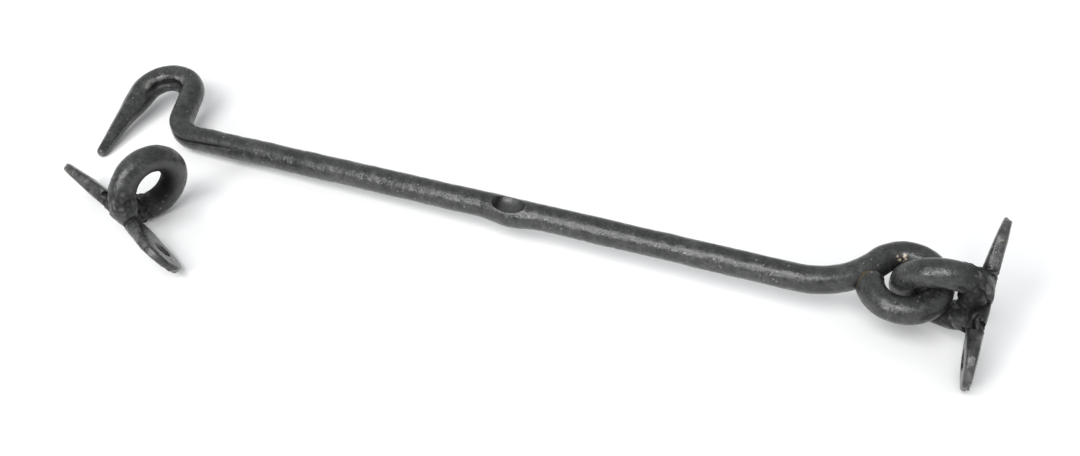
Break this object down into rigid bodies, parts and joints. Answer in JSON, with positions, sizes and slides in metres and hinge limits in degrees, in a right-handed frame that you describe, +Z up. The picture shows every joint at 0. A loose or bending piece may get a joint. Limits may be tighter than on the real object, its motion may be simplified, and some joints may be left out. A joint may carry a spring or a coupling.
{
  "type": "forged cabin hook set",
  "caption": "Hand-forged cabin hook: a hooked arm linked to one coiled eye plate, with a loose matching eye plate for the hook to drop into.",
  "frame": {"origin": "bottom centre of the set as it lies on a table", "axes": "+X along the shank from the hook to the linked eye plate, +Y across the table on the side of the hook's bow, +Z up"},
  "size_m": [0.279, 0.0864, 0.0323],
  "materials": {
    "arm_steel": "satin",
    "plate_steel": "satin"
  },
  "bodies": {
    "fixed_plate": {"fixed_eye_plate": "plate_steel"},
    "arm": {"hook_arm": "arm_steel"},
    "catch_plate": {"catch_eye_plate": "plate_steel"}
  },
  "joints": [
    {"name": "arm_swing", "type": "hinge", "parent": "fixed_plate", "child": "arm", "pos_m": [0.1168, 0.02174, 0.01617], "axis": [0, -0.2063, 0.9785], "range_deg": [-45, 0]},
    {"name": "catch_slide", "type": "slide", "parent": "fixed_plate", "child": "catch_plate", "axis": [0, -1, 0], "range_m": [0, 0.05]}
  ]
}
